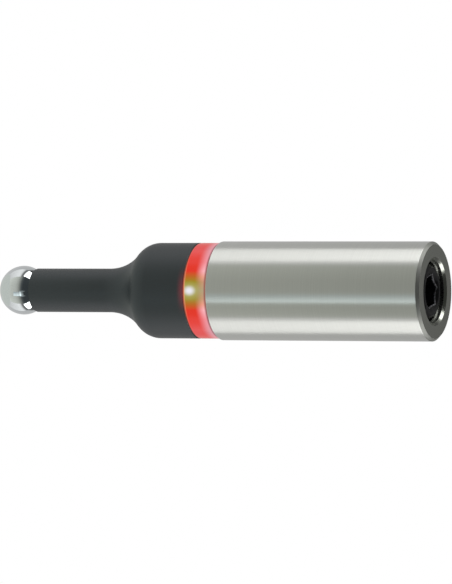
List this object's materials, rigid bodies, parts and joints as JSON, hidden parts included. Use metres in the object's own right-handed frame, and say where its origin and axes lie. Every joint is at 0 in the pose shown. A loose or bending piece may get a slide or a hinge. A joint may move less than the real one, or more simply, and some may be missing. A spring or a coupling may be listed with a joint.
{
  "type": "electronic edge finder",
  "caption": "Battery-lit edge finder: a round steel shank, a glowing light ring and a black ogee housing whose neck holds a sprung steel ball that can be pushed aside.",
  "frame": {"origin": "centre of the shank's rear end face, on which it stands", "axes": "+Z along the tool's axis from the shank's rear end to the ball; the lamp that faces the picture's camera is towards -Y"},
  "size_m": [0.02, 0.02, 0.0947],
  "materials": {
    "ground_steel": "satin",
    "black_oxide_steel": "gloss",
    "satin_black_steel": "satin",
    "lit_acrylic": "satin",
    "polished_steel": "polished",
    "stainless_steel": "satin",
    "spring_steel": "satin",
    "contact_brass": "satin",
    "battery_film": "gloss",
    "liner_film": "matte",
    "core_plastic": "satin",
    "nitrile_rubber": "matte",
    "board_laminate": "satin",
    "lamp_resin": "gloss",
    "chip_ceramic": "matte"
  },
  "bodies": {
    "body": {"shank": "ground_steel", "battery": "battery_film", "battery_liner": "liner_film", "insulating_core": "core_plastic", "rear_gasket": "nitrile_rubber", "light_ring": "lit_acrylic", "front_gasket": "nitrile_rubber", "led_board": "board_laminate", "leds": "lamp_resin", "resistors": "chip_ceramic", "positive_contact": "contact_brass", "probe_contact": "contact_brass", "front_housing": "satin_black_steel", "anchor_plate": "stainless_steel", "swivel_washer": "contact_brass"},
    "swivel": {"anchor_swivel": "stainless_steel"},
    "spring": {"tension_spring": "spring_steel"},
    "ball": {"ball_stud": "stainless_steel", "probe_ball": "polished_steel"},
    "contact": {"contact_cup": "contact_brass", "contact_spring": "spring_steel"},
    "plug": {"battery_plug": "black_oxide_steel", "plug_seal_ring": "nitrile_rubber"}
  },
  "joints": [
    {"name": "ball_spin", "type": "hinge", "parent": "body", "child": "swivel", "pos_m": [0, 0, 0.0562], "axis": [0, 0, 1], "continuous": true},
    {"name": "ball_pull", "type": "slide", "parent": "swivel", "child": "spring", "axis": [0, 0, 1], "range_m": [0, 0.003], "stiffness_N_per_m": 150, "springref_m": -0.004, "deforming": ["tension_spring"]},
    {"name": "ball_tip", "type": "hinge", "parent": "spring", "child": "ball", "pos_m": [0.0042, 0, 0.08695], "axis": [0, 1, 0], "range_deg": [0, 30], "stiffness_Nm_per_rad": 0.002, "springref_deg": -42.97, "deforming": ["tension_spring"]},
    {"name": "plug_travel", "type": "slide", "parent": "body", "child": "contact", "axis": [0, 0, -1], "range_m": [0, 0.007]},
    {"name": "plug_turn", "type": "hinge", "parent": "contact", "child": "plug", "pos_m": [0, 0, 0.00455], "axis": [0, 0, -1], "range_deg": [0, 2520]}
  ],
  "couplings": [
    {"joint": "plug_travel", "follows": "plug_turn", "m_per_rad": 0.00015915}
  ]
}
